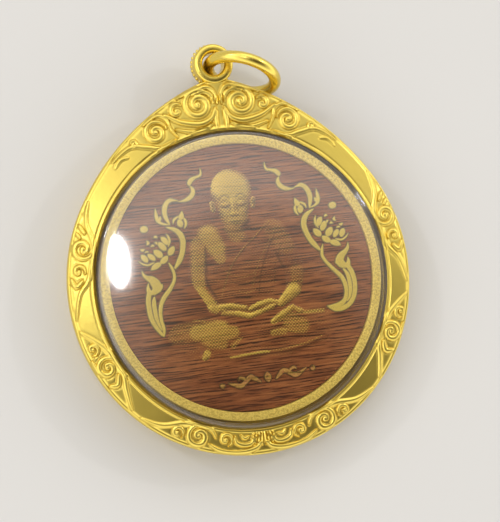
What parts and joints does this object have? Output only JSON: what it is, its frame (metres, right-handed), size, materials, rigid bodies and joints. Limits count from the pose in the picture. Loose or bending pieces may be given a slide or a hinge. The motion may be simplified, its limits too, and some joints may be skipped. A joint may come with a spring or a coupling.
{
  "type": "round cased amulet pendant",
  "caption": "Round gold-cased amulet pendant: clear domed cover over a wood medallion with a seated monk in relief, scrolled frame with a crest, beaded bail and loose jump ring.",
  "frame": {"origin": "centre of the back plate's flat outer face, on the surface the pendant lies on", "axes": "+Z out of the front, through the dome; +Y towards the crest and the bail; +X to the right, seen from the front"},
  "size_m": [0.049, 0.0581, 0.0109],
  "materials": {
    "gold": "polished gold plate",
    "back_gold": "satin gold plate",
    "clear": "clear polished acrylic",
    "rim_gold": "matt grainy gold",
    "wood": "satin reddish brown hardwood",
    "gold_print": "matt gold print on raised wood",
    "stamped_wood": "raised wood, lightly gilt",
    "ring_gold": "polished gold plate"
  },
  "bodies": {
    "root": {"case": "gold", "back_plate": "back_gold", "cover": "clear", "medallion_rim": "rim_gold", "medallion_disc": "wood", "monk_figure": "gold_print", "lotus_left": "gold_print", "lotus_right": "gold_print", "base_ornament": "stamped_wood", "jump_ring": "ring_gold"}
  },
  "joints": []
}
